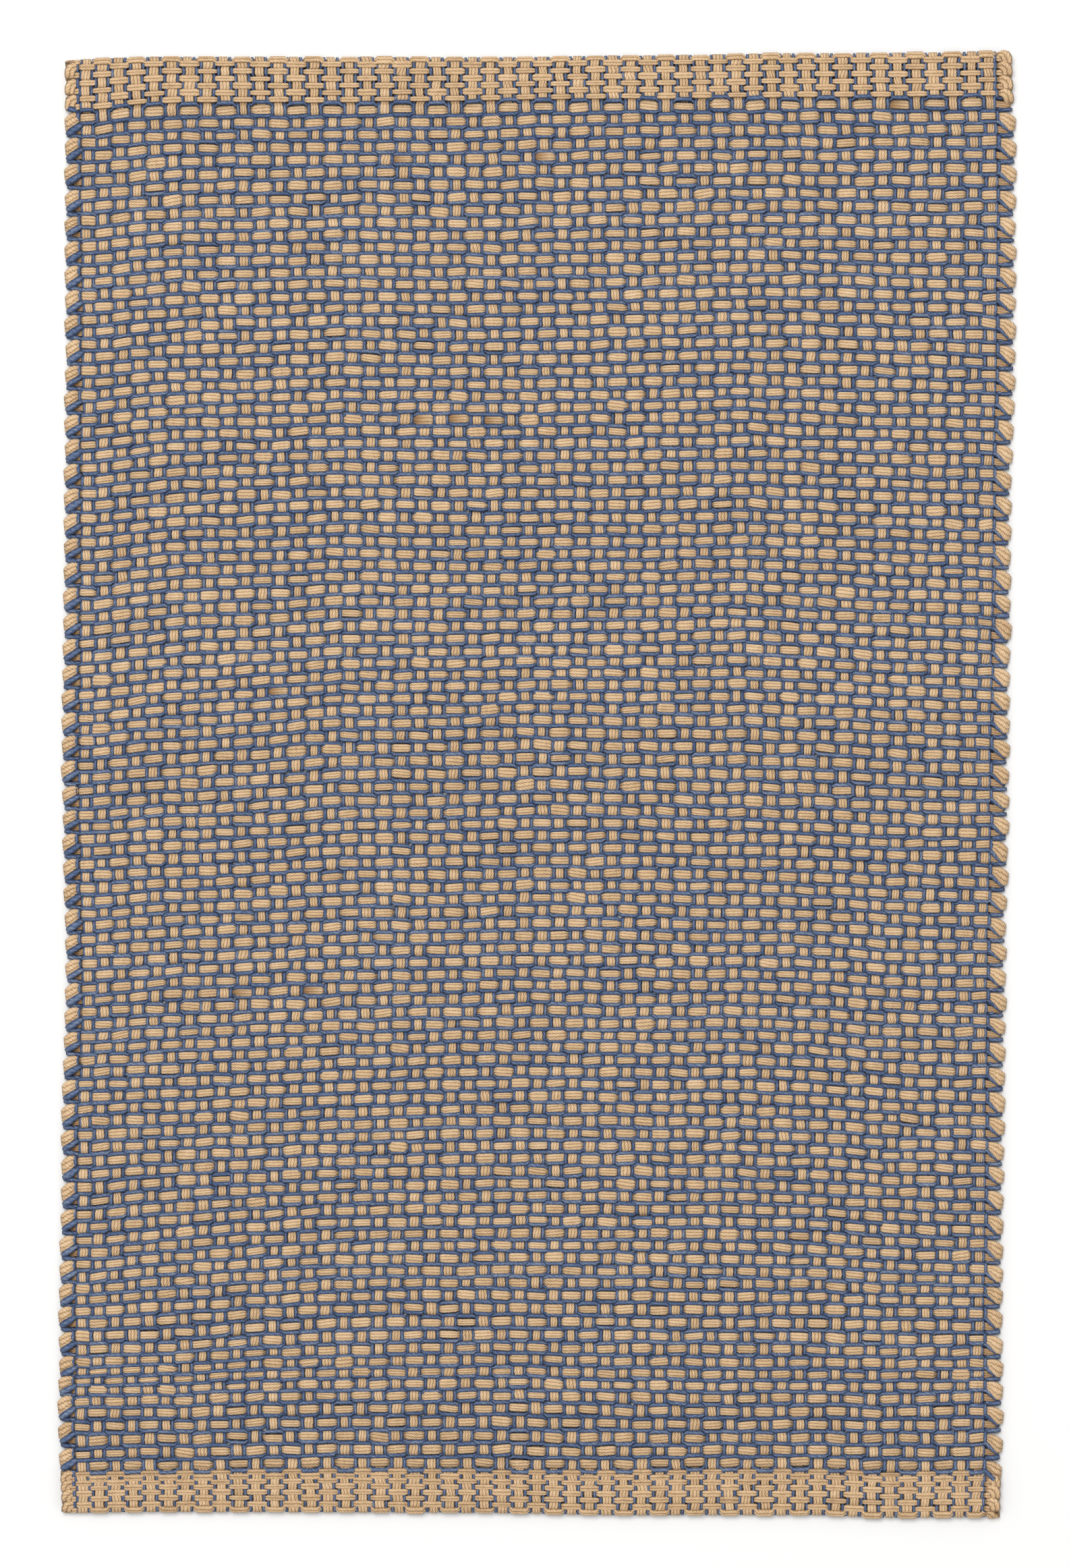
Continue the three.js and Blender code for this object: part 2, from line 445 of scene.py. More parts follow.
# Shares of a yarn's full size, place or rise: in the middle of a float, where the float dives, and
# where the yarn lies under another
WARP_WIDTH = {"middle": 1.0, "dive": 0.91, "under": 0.9}
WEFT_WIDTH = {"middle": 1.0, "dive": 0.86, "under": 0.95}
WEFT_RISE = {"middle": 1.08, "dive": 0.55, "under": -1.0}
BLUE_WEFT_WIDTH = {"middle": 1.0, "dive": 0.8, "under": 0.95}
BLUE_WEFT_PLACE = {"middle": 1.0, "dive": 0.7, "under": 0.88}
BLUE_WEFT_RISE = {"middle": 1.15, "dive": 0.45, "under": -1.0}
PICK_WIDTH = {"middle": 1.0, "dive": 0.82, "under": 0.6}
PICK_RISE = {"middle": 1.2, "dive": 0.8, "under": -1.1}

# Other shares of a full width: of a warp in the body, in a hem, in an outer group and over a fold, of a
# blue warp in a hem and beside a selvedge, of the first and last row, and of a blue weft's half that
# lies clear of its band
BODY_WARP = 0.93
HEM_WARP = 0.97
END_WARP = 0.94
FOLD_LOOP = 0.75
HEM_BLUE = 0.9
EDGE_BLUE = 1.1
END_ROW = 1.08
BLUE_CLEAR = 0.8

# Shares of a full height: of a warp flattened in a hem, of a weft where it isn't in mid float, and of
# a blue warp
HEM_FLAT = 0.85
SHOULDER = 0.92
BLUE_FLAT = 0.95

# How much of the unevenness the edge warps have, and how much lower a warp's float is where it dives
EDGE_PULL = 0.3
DIVE_DROP = 0.3

# Thickness of the first two hem picks and of those in the folds, and how much of it is in the height
PICK_THICKNESS = {0: 0.92, 1: 1.1}
FOLD_PICK_THICKNESS = 1.15
THICKNESS_IN_HEIGHT = 0.6
PICK_SHOULDER = 0.9

# A station is in the middle of its float within this share of the way to the float's last station
MIDDLE_SIDE = 0.9

# How far the yarns of the outer groups crowd in, the outer blue wefts arch into the hems, and the ends
# of the floats at a fold are drawn back from it
END_CROWDING = 0.7
HEM_ARCH = 0.5
FOLD_PICK_DRAW = 0.8

# How far a tucked end is browned as painted shade, and where on a knotted float the brown ends
TUCK_PAINTED_SHADE = 0.6
KNOT_END = 0.5

# Hand-made unevenness, as millimetres or shares. The first seed is for the first spread, and each
# further spread has the next one.
WARP_SEED = 31
WARP_SPREADS = {"pull": 0.38, "swell": 0.07, "lift": 0.09, "lean": 0.16}
OWN_WARP_SPREADS = {"swell": 0.06, "pull": 0.1}
WEFT_SEED = 61
WEFT_SPREADS = {
    "pull": 0.35,
    "swell": 0.09,
    "lift": 0.09,
    "slide": 0.35,
    "lean": 0.15,
    "grip": 0.07,
    "shove": 0.25,
    "tilt": 0.2,
}
OWN_WEFT_SPREADS = {"swell": 0.07, "pull": 0.14}
PICK_PULL_SPREAD = 0.15
PICK_SWELL_SPREAD = 0.12

# Seeds of what each yarn has of its own, by side of the band or by end of the rug, and how much
# further on the seeds of their tones are
NATURAL_WARP_SEED = 41
BLUE_WARP_SEED = {-1: 43, 1: 45}
EDGE_WARP_SEED = {-1: 46, 1: 48}
NATURAL_WEFT_SEED = 71
BLUE_WEFT_SEED = {1: 76, -1: 74}
PICK_SEED = {1: 240, -1: 200}
HAIR_SEED = 97
TONE_STEP = 5
PICK_TONE_STEP = 20

# Spread of lightness from yarn to yarn and along a yarn, and the size of the tables that hold it
YARN_TONE_SPREAD = 0.5
STRETCH_TONE_SPREAD = 0.35
TONE_TABLE = 400

# Hem picks, outwards from the last body row: places as first + step * n + growth * n * n up to the
# pick that lies in the fold, then a gap round the fold, and the rest underneath
PICKS = 14
FACE_PICKS = 9
FOLD_PICK = {1: 6, -1: 7}
DULLER_PICKS = {1: 0.3, -1: 1.1}
HEM_PICKS = {
    1: {"first": 2.3, "step": 3.95, "growth": 0.03, "gap": 5.0, "last_step": 3.95},
    -1: {"first": 1.4, "step": 2.7, "growth": 0.12, "gap": 4.9, "last_step": 4.1},
}


def smooth(share):
    share = np.clip(share, 0.0, 1.0)
    return share * share * (3.0 - 2.0 * share)


def read_table(rows, key, column, place):
    """Reads a column between a table's rows, with no corner at a row."""
    keys = np.array([row[key] for row in rows])
    values = np.array([row[column] for row in rows])
    place = np.clip(place, keys[0], keys[-1])
    index = np.clip(np.searchsorted(keys, place, side="right") - 1, 0, len(keys) - 2)
    share = smooth((place - keys[index]) / (keys[index + 1] - keys[index]))
    return values[index] + (values[index + 1] - values[index]) * share


def row_bow(across, down):
    """How much lower than straight a weft row lies there; past the right column it goes on bending."""
    names = list(BOW_PLACES)
    places = np.array([BOW_PLACES[name] for name in names])
    columns = np.stack([read_table(ROW_BOW, "down", name, down) for name in names])
    across = np.minimum(across, 1.0)
    index = np.clip(np.searchsorted(places, across, side="right") - 1, 0, len(places) - 2)
    share = np.maximum((across - places[index]) / (places[index + 1] - places[index]), 0.0)
    low = np.take_along_axis(columns, index[None], 0)[0]
    high = np.take_along_axis(columns, index[None] + 1, 0)[0]
    return low + (high - low) * share


def wander(seed, scale, x, y):
    """Smooth unevenness between -1 and 1 that changes over about scale millimetres."""
    cells = 64
    grid = np.random.RandomState(seed).uniform(-1.0, 1.0, (cells, cells))
    gx = np.mod(x / scale, cells - 2.0)
    gy = np.mod(y / scale, cells - 2.0)
    ix = gx.astype(int)
    iy = gy.astype(int)
    sx = smooth(gx - ix)
    sy = smooth(gy - iy)
    low = grid[ix, iy] * (1 - sx) + grid[ix + 1, iy] * sx
    high = grid[ix, iy + 1] * (1 - sx) + grid[ix + 1, iy + 1] * sx
    return low * (1 - sy) + high * sy


def place_on_rug(across, down):
    """From millimetres across and down a straight rug to x and y on the uneven one."""
    across, down = np.broadcast_arrays(np.asarray(across, float), np.asarray(down, float))
    width = width_mm()
    length = length_mm()
    down_share = down / length
    across_share = across / width
    left = -(width / 2 + read_table(SELVEDGE_DRIFT, "down", "left", down_share))
    right = width / 2 + read_table(SELVEDGE_DRIFT, "down", "right", down_share)
    top = length / 2 + read_table(END_DRIFT, "across", "top", across_share)
    bottom = -(length / 2 + read_table(END_DRIFT, "across", "bottom", across_share))
    from_sides = smooth(across / FADE) * smooth((width - across) / FADE)
    from_ends = smooth(down / FADE) * smooth((length - down) / FADE)
    x = left + (right - left) * across_share
    x = x + read_table(LATTICE_DRIFT, "down", "right", down_share) * from_sides
    x = x + read_table(COLUMN_DRIFT, "across", "right", across_share)
    x = x + RIPPLE * wander(RIPPLE_SEEDS["across"], RIPPLE_ACROSS, across, down) * from_sides
    y = top + (bottom - top) * down_share - row_bow(across_share, down_share)
    y = y - read_table(LATTICE_DRIFT, "down", "lower", down_share)
    y = y + RIPPLE * wander(RIPPLE_SEEDS["down"], RIPPLE_DOWN, across, down) * from_ends
    return x, y


def group_across(group):
    """Middle of a warp group, from 1 to the last, or of the single edge warps beyond them."""
    group = np.asarray(group, float)
    last = sizes().warp_groups
    first_inner = FIRST_GROUP + END_GROUP_GAP
    last_inner = width_mm() - LAST_GROUP - END_GROUP_GAP
    inner = first_inner + (group - 2) * (last_inner - first_inner) / (last - 3)
    place = np.where(group <= 1, FIRST_GROUP, inner)
    place = np.where(group >= last, width_mm() - LAST_GROUP, place)
    place = np.where(group <= 0, LEFT_EDGE_WARP, place)
    return np.where(group > last, width_mm() - RIGHT_EDGE_WARP, place)


def row_down(row):
    return hem_mm() + (np.asarray(row, float) + 0.5) * row_pitch()


def middle_height(outward):
    """Height of the cloth's middle, from how far outwards of the last body row's border it is."""
    ramp = smooth((outward + HEM_RAMP_START) / HEM_RAMP)
    return BODY_MIDDLE + (HEM_TOP_MIDDLE - BODY_MIDDLE) * ramp


def body_height(down):
    return middle_height(np.maximum(hem_mm() - down, down - length_mm() + hem_mm()))


def pick_outward(pick, end):
    """How far outwards of the last body row's border a hem pick lies, along the cloth."""
    spacing = HEM_PICKS[end]
    fold = FOLD_PICK[end]
    near = np.minimum(pick, fold)
    place = spacing["first"] + spacing["step"] * near + spacing["growth"] * near * near
    beyond = np.maximum(pick - fold - 1, 0)
    return place + spacing["gap"] * (pick > fold) + spacing["last_step"] * beyond


def fold_radius():
    return (HEM_TOP_MIDDLE - HEM_UNDER_MIDDLE) / 2


def place_on_hem(across, outward, end):
    """Point on the hem's cloth, a distance along it from the body border, over the fold and back
    underneath, and the direction that its face looks there. end is 1 at the top and -1 at the bottom."""
    across, outward = np.broadcast_arrays(np.asarray(across, float), np.asarray(outward, float))
    border = hem_mm() if end > 0 else length_mm() - hem_mm()
    rim = 0.0 if end > 0 else length_mm()
    border_y = place_on_rug(across, border)[1]
    depth = np.abs(place_on_rug(across, rim)[1] - border_y)
    radius = fold_radius()
    fold_start = depth - FOLD_SKIN - radius
    # the cloth is spread or crowded so that its fold stays at the uneven rim
    even_start = hem_mm() - FOLD_SKIN - radius
    beyond = np.maximum(outward - even_start, 0.0)
    outward = np.minimum(outward, even_start) * fold_start / even_start + beyond
    angle = np.clip((outward - fold_start) / radius, 0.0, math.pi)
    beneath = np.maximum(outward - fold_start - math.pi * radius, 0.0)
    reach = np.minimum(outward, fold_start) + radius * np.sin(angle) - beneath
    height = np.where(angle > 0, HEM_UNDER_MIDDLE + radius + radius * np.cos(angle), middle_height(outward))
    x = place_on_rug(across, border - end * reach)[0]
    point = np.stack([x, border_y + end * reach, height], axis=-1)
    facing = np.stack([np.zeros(angle.shape), end * np.sin(angle), np.cos(angle)], axis=-1)
    return point, facing


def uneven(seed, shape, spread):
    """Seeded hand-made unevenness, never more than twice its spread."""
    return np.clip(np.random.RandomState(seed).normal(0.0, spread, shape), -2 * spread, 2 * spread)


def draws(spreads, seed, shape, yarns, crossings):
    """For each spread a table of unevenness of its own, read at these yarns and crossings."""
    tables = [uneven(seed + number, shape, spread) for number, spread in enumerate(spreads.values())]
    return [values[yarns][:, crossings] for values in tables]


def along_float(shares, is_over, middle):
    """The share at each station of a yarn, from whether it is up, and in the middle of its float."""
    return np.where(middle, shares["middle"], np.where(is_over, shares["dive"], shares["under"]))


def yarn_tone(seed, yarns, crossing):
    """Lightness of each stretch of yarn, round 0: every yarn has its own, and it drifts along it."""
    rng = np.random.RandomState(seed)
    own = rng.normal(0.0, YARN_TONE_SPREAD, TONE_TABLE)[np.asarray(yarns)][:, None]
    local = rng.normal(0.0, STRETCH_TONE_SPREAD, (TONE_TABLE, TONE_TABLE))
    return np.clip(own + local[np.asarray(yarns)][:, np.asarray(crossing)], -1.0, 1.0)


# Yarn meshes. A straight block is spaced by whole numbers, with small rings round them. No point lies
# lower than the least height, and the painted shade of the cloth's middle reaches this far.
INDEX_RADIUS = 0.3
MERGE_WITHIN = 0.001
LEAST_HEIGHT = 0.03
SHADE_REACH = 1.5


def deselect_all():
    if bpy.context.object and bpy.context.object.mode != "OBJECT":
        bpy.ops.object.mode_set(mode="OBJECT")
    bpy.ops.object.select_all(action="DESELECT")


def array_of(block, offset, count, merge):
    """Repeats the mesh along an offset and applies it."""
    modifier = block.modifiers.new("repeat", "ARRAY")
    modifier.use_relative_offset = False
    modifier.use_constant_offset = True
    modifier.constant_offset_displace = offset
    modifier.count = count
    modifier.use_merge_vertices = merge
    modifier.merge_threshold = MERGE_WITHIN
    bpy.ops.object.modifier_apply(modifier=modifier.name)


def straight_yarns(name, yarns, stations, ring):
    """Straight closed yarns side by side: a ring drawn out station by station, capped and arrayed.
    X counts the yarns and Z the stations, so a point's place says which one it is."""
    deselect_all()
    bpy.ops.mesh.primitive_circle_add(vertices=ring, radius=INDEX_RADIUS)
    block = bpy.context.object
    block.name = name
    block.data.name = name
    bpy.ops.object.mode_set(mode="EDIT")
    bpy.ops.mesh.select_all(action="SELECT")
    bpy.ops.mesh.extrude_region_move(TRANSFORM_OT_translate={"value": (0.0, 0.0, 1.0)})
    bpy.ops.object.mode_set(mode="OBJECT")
    array_of(block, (0.0, 0.0, 1.0), stations - 1, True)
    bpy.ops.object.mode_set(mode="EDIT")
    bpy.ops.mesh.select_all(action="SELECT")
    bpy.ops.mesh.fill_holes(sides=ring)
    bpy.ops.mesh.select_all(action="SELECT")
    bpy.ops.mesh.normals_make_consistent(inside=False)
    bpy.ops.object.mode_set(mode="OBJECT")
    array_of(block, (1.0, 0.0, 0.0), yarns, False)
    return block


def point_indices(block, ring):
    """Yarn, station and place in the ring of each point of a straight block."""
    points = np.zeros(len(block.data.vertices) * 3)
    block.data.vertices.foreach_get("co", points)
    points = points.reshape(-1, 3)
    yarn = np.rint(points[:, 0]).astype(int)
    station = np.rint(points[:, 2]).astype(int)
    # a circle primitive starts at the +Y axis, so the ring is read from its own first point
    angle = np.arctan2(points[:, 1], points[:, 0] - yarn) - math.pi / 2
    return yarn, station, np.mod(np.rint(angle / (2 * math.pi / ring)).astype(int), ring)


def lay_yarns(block, section, path):
    """Moves a straight block's points on to its path, and gives them their texture and attributes.
    path holds arrays with a row for each yarn and a column for each station."""
    yarn, station, turn = point_indices(block, len(section["across"]))
    centre = path["centre"]
    tangent = np.gradient(centre, axis=1)
    tangent /= np.linalg.norm(tangent, axis=2, keepdims=True)
    side = path["side"] / np.linalg.norm(path["side"], axis=2, keepdims=True)
    up = np.cross(tangent, side)
    up /= np.linalg.norm(up, axis=2, keepdims=True)
    across = np.array(section["across"])[turn] * path["half_width"][yarn, station]
    rise = np.array(section["up"])[turn] * path["half_height"][yarn, station]
    points = centre[yarn, station] + side[yarn, station] * across[:, None]
    points += up[yarn, station] * rise[:, None]
    points[:, 2] = np.maximum(points[:, 2], LEAST_HEIGHT)
    block.data.vertices.foreach_set("co", (points * MM).ravel())
    wrap_texture(block.data, section, path, yarn, station, turn)

    # painted shade: light hardly reaches the yarn near the middle of the cloth, so its colour is darkened
    # there
    from_middle = np.abs(path["rise"][yarn, station] + rise)
    depth = 1.0 - smooth(from_middle / SHADE_REACH)
    attributes = {"tone": path["tone"][yarn, station], "knot_and_tuck_shade": path["knot_and_tuck_shade"][yarn, station], "depth": depth}
    for name, values in attributes.items():
        layer = block.data.attributes.new(name, "FLOAT", "POINT")
        layer.data.foreach_set("value", values.astype(np.float32))
    block.data.polygons.foreach_set("use_smooth", np.ones(len(block.data.polygons), bool))
    block.data.update()


# The texture is kept small, so that it stays inside a few squares of its map
TEXTURE_ALONG = 0.01
TEXTURE_ROUND = 0.1
YARN_OFFSET = 37.0


def wrap_texture(mesh, section, path, yarn, station, turn):
    """Texture map of a laid block: millimetres along the yarn, and strands round it."""
    steps = np.linalg.norm(np.diff(path["centre"], axis=1), axis=2)
    along = np.concatenate([np.zeros((len(steps), 1)), np.cumsum(steps, axis=1)], axis=1)
    along = along + YARN_OFFSET * np.arange(len(along))[:, None]
    corner = np.zeros(len(mesh.loops), int)
    mesh.loops.foreach_get("vertex_index", corner)
    starts = np.zeros(len(mesh.polygons), int)
    counts = np.zeros(len(mesh.polygons), int)
    mesh.polygons.foreach_get("loop_start", starts)
    mesh.polygons.foreach_get("loop_total", counts)
    first = turn[corner] == 0
    last = turn[corner] == len(section["strand"]) - 1
    closes = (np.add.reduceat(first, starts) > 0) & (np.add.reduceat(last, starts) > 0) & (counts == 4)
    strand = np.array(section["strand"])[turn[corner]]
    strand = np.where(np.repeat(closes, counts) & first, section["wrap"], strand)
    strand = strand + path["skew"][yarn, station][corner]
    texture = np.stack([along[yarn, station][corner] * TEXTURE_ALONG, strand * TEXTURE_ROUND], axis=1)
    mesh.uv_layers.new(name="yarn").data.foreach_set("uv", texture.ravel())


def weave_piece(name, section, path, material):
    """One joined mesh of all the yarns of a path, standing for the solid."""
    yarns, stations = path["tone"].shape
    piece = straight_yarns(name, yarns, stations, len(section["across"]))
    lay_yarns(piece, section, path)
    piece.data.materials.clear()
    piece.data.materials.append(material)
    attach(piece, "root")
    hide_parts("rug")
    return piece


def merged(paths):
    return {key: np.concatenate([path[key] for path in paths]) for key in paths[0]}


# Warp

def hem_sides(pick, end):
    """Sides of a hem pick at which a warp has stations: more of them round the fold."""
    if pick == FOLD_PICK[end]:
        return (-1, 0, 1)
    return (-1, 1) if pick < FACE_PICKS else (0,)


def warp_columns(group):
    """Stations of a lengthwise yarn, as columns: which end's hem they lie in (0 in the body), the hem
    pick or weft row that crosses there, a running number of that crossing, and the side of it. In the
    body there are three over a row and two under one."""
    columns = []
    for pick in range(PICKS - 1, -1, -1):
        for side in hem_sides(pick, 1):
            columns.append((1, pick, -1 - pick, side))
    for row in range(sizes().weft_rows):
        for side in (-1, 0, 1) if (group + row) % 2 == 0 else (-1, 1):
            columns.append((0, row, row, side))
    for pick in range(PICKS):
        for side in hem_sides(pick, -1):
            columns.append((-1, pick, sizes().weft_rows + pick, side))
    return [np.array(column) for column in zip(*columns)]


def warp_path(groups, position, seed):
    """Path of one yarn of each of these warp groups, all even or all odd: the natural band at position
    0, or the blue yarn at its left (-1) or right (1). The edge warps are groups 0 and one past the last."""
    groups = np.asarray(groups)
    last = sizes().warp_groups
    end, crosser, crossing, side = warp_columns(groups[0])
    over = np.mod(groups[:, None] + crossing[None], 2) == 0
    edge = ((groups == 0) | (groups == last + 1))[:, None]
    body = (end == 0)[None]

    # one draw for each crossing, shared by both its stations and by the yarns of the group
    shape = (last + 2, sizes().weft_rows + 2 * PICKS)
    pull, swell, lift, lean = draws(WARP_SPREADS, WARP_SEED, shape, groups, crossing)
    own, own_pull = draws(OWN_WARP_SPREADS, seed, shape, groups, crossing)
    own = 1.0 + own

    # a float is fullest in its middle and pinched where it dives
    dives = body & over & (side != 0)
    narrow = np.where(body, BODY_WARP, HEM_WARP) * along_float(WARP_WIDTH, over, over & ~dives)
    narrow = narrow * np.where((groups == 1) | (groups == last), END_WARP, 1.0)[:, None]
    band = 0.5 * sizes().warp_band / MM * narrow * (1.0 + swell)
    blue = 0.5 * sizes().blue_warp / MM * np.where(body, 1.0, HEM_BLUE)
    at_end = (groups * position == last) | (groups * position == -1)
    crowded = np.where(at_end, END_CROWDING, 0.0)[:, None]
    beside = np.where(body, band + blue, HEM_BLUE_OFFSET)
    offset = np.where(edge, 0.0, position * (beside - crowded))
    across = group_across(groups)[:, None] + offset + np.where(edge, EDGE_PULL, 1.0) * pull + own_pull
    rise = np.where(over, 1.0, -1.0) - DIVE_DROP * dives + lift
    body_reach = np.where(over, WARP_OVER_REACH, WARP_UNDER_REACH) * side[None]
    point_x, point_y = place_on_rug(across, row_down(crosser)[None] + body_reach)
    height = body_height(row_down(crosser)[None] + body_reach)
    centre = np.stack([point_x, point_y, height + crimp_mm() * rise], axis=2)
    for which in (1, -1):
        here = end == which
        at_fold = crosser[here] == FOLD_PICK[which]
        reach = np.where(at_fold, HEM_WARP_FOLD_REACH, HEM_WARP_OVER_REACH)
        reach = np.where(over[:, here], reach, HEM_WARP_UNDER_REACH) * side[None, here]
        outward = pick_outward(crosser[here], which)[None] - which * reach
        point, facing = place_on_hem(across[:, here], outward, which)
        centre[:, here] = point + facing * (HEM_CRIMP * rise[:, here])[..., None]
        # the loops over the fold are rounded off
        band[:, here] *= np.where(at_fold & (side[here] == -which), FOLD_LOOP, 1.0)
    if position == 0 and not edge.any():
        half_width = band * own
        half_height = NATURAL_HALF_HEIGHT * np.where(body, 1.0, HEM_FLAT) * own
        skew = lean * side[None]
    else:
        half_width = blue * own * np.where(edge, EDGE_BLUE, 1.0)
        half_height = BLUE_FLAT * blue * own * np.where(body, 1.0, HEM_FLAT)
        skew = np.zeros(over.shape)
    return {
        "centre": centre,
        "rise": np.where(body, crimp_mm(), HEM_CRIMP) * rise,
        "side": np.zeros(centre.shape) + (1.0, 0.0, 0.0),
        "half_width": half_width,
        "half_height": half_height,
        "skew": skew,
        "tone": yarn_tone(seed + TONE_STEP, groups, crossing),
        "knot_and_tuck_shade": np.zeros(over.shape),
    }


class RUG_OT_warp(bpy.types.Operator):
    """Lay the lengthwise yarns: a natural band and two blue yarns a group, turned under at both ends"""

    bl_idname = "rug.warp"
    bl_label = "Warp"

    def execute(self, context):
        last = sizes().warp_groups
        halves = (np.arange(1, last + 1, 2), np.arange(2, last + 1, 2))
        path = merged([warp_path(half, 0, NATURAL_WARP_SEED) for half in halves])
        weave_piece("warp_natural", WIDE_BAND, path, natural_jute())
        for position, name, edge in ((-1, "left", 0), (1, "right", last + 1)):
            paths = [warp_path(half, position, BLUE_WARP_SEED[position]) for half in halves]
            path = merged(paths + [warp_path([edge], 0, EDGE_WARP_SEED[position])])
            weave_piece(f"warp_blue_{name}", BLUE_YARN, path, blue_jute())
        return {"FINISHED"}


# Weft

def edge_columns(rows):
    return {name: np.array([row[name] for row in rows], float) for name in rows[0]}


def cell_stations(groups, over, over_places, under_places):
    """Stations of a crosswise yarn between its ends, at these places over and under a warp group.
    Gives the places, the group of each, and how far each is from the group's middle, from -1 to 1."""
    places = []
    columns = []
    sides = []
    for group, is_over in zip(groups, over):
        near = over_places if is_over else under_places
        for place in near:
            outermost = (group == groups[0] and place < 0) or (group == groups[-1] and place > 0)
            places.append(group_across(group) + place * (EDGE_SHARE if outermost else 1.0))
            columns.append(group)
            sides.append(place / (near[-1] or 1.0))
    return np.array(places), np.array(columns), np.array(sides)


def crosswise_stations(crossing, over_places, under_places, ends):
    """All the stations of a crosswise yarn, from the left selvedge to the right: its place between the
    ends, the warp group of each station and its side of the group, where the yarn is up, where it is in
    the middle of a float, and the columns of both ends' tables."""
    last = sizes().warp_groups
    groups = np.arange(1, last + 1)
    over = np.mod(groups + crossing, 2) == 1
    places, column, side = cell_stations(groups, over, over_places, under_places)
    left, right = edge_columns(ends[0][::-1]), edge_columns(ends[1])
    n = len(ends[0])
    is_over = np.concatenate([np.zeros(n, bool), over[column - 1], np.zeros(n, bool)])
    side = np.concatenate([np.zeros(n), side, np.zeros(n)])
    column = np.concatenate([np.zeros(n, int), column, np.full(n, last + 1)])
    middle = is_over & (np.abs(side) < MIDDLE_SIDE)
    return places, column, side, is_over, middle, left, right


def turned_sides(facing, turn, outward_sign):
    """Sideways direction of a band whose end is turned downwards in the cloth's plane by an angle."""
    flat = np.stack([np.zeros(facing.shape[:-1]), facing[..., 2], -facing[..., 1]], axis=-1)
    angle = np.radians(turn)[..., None]
    return flat * np.cos(angle) + outward_sign[..., None] * np.sin(angle) * np.array([1.0, 0.0, 0.0])


def weft_ends(turns_left, position):
    """A weft turns round one selvedge, and is tucked in at the other."""
    if position == 0:
        return (LEFT_BUTTON, RIGHT_TUCK) if turns_left else (LEFT_TUCK, RIGHT_BUTTON)
    if turns_left:
        return (LEFT_UPPER_BLUE if position > 0 else LEFT_LOWER_BLUE), BLUE_TUCK
    return BLUE_TUCK, (RIGHT_UPPER_BLUE if position > 0 else RIGHT_LOWER_BLUE)


